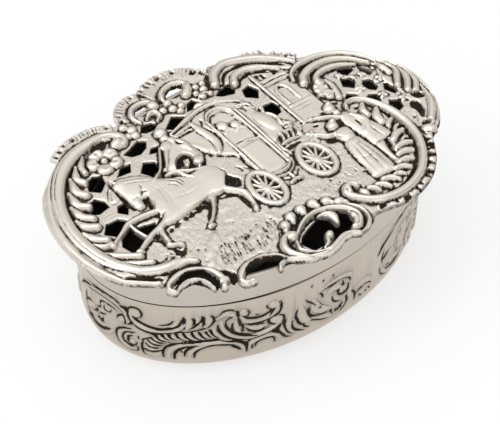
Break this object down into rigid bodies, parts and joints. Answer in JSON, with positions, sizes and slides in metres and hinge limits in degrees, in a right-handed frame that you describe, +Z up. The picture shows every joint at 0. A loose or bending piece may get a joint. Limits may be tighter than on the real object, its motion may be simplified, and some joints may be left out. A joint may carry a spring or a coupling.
{
  "type": "trinket box",
  "caption": "Oval silver trinket box with rounded chased sides and a pierced, raised scroll-and-coach lid that swings open on a back hinge.",
  "frame": {"origin": "middle of the base plate's underside", "axes": "+X along the box's length, to the right when the hinge is at the back; +Y towards the hinge; +Z up"},
  "size_m": [0.1143, 0.0828, 0.039],
  "materials": {
    "body_silver": "polished silver, chased, dark oxide in the lines",
    "rim_silver": "plain satin silver",
    "lid_silver": "raised silver, bright on the high parts, dark oxide in the recesses",
    "base_silver": "satin silver with fine scratches",
    "inner_silver": "satin silver",
    "hinge_silver": "satin silver",
    "pin_metal": "drawn wire"
  },
  "bodies": {
    "box": {"body_wall": "body_silver", "base_plate": "base_silver", "bezel_strip": "inner_silver", "hinge_bearer_body": "hinge_silver", "hinge_knuckle_body_left": "hinge_silver", "hinge_knuckle_body_middle": "hinge_silver", "hinge_knuckle_body_right": "hinge_silver", "hinge_pin": "pin_metal"},
    "lid": {"lid_rim": "rim_silver", "lid_panel": "lid_silver", "hinge_bearer_lid": "hinge_silver", "hinge_knuckle_lid_left": "hinge_silver", "hinge_knuckle_lid_right": "hinge_silver"}
  },
  "joints": [
    {"name": "lid_hinge", "type": "hinge", "parent": "box", "child": "lid", "pos_m": [0, 0.0376, 0.0274], "axis": [-1, 0, 0], "range_deg": [0, 105]}
  ]
}
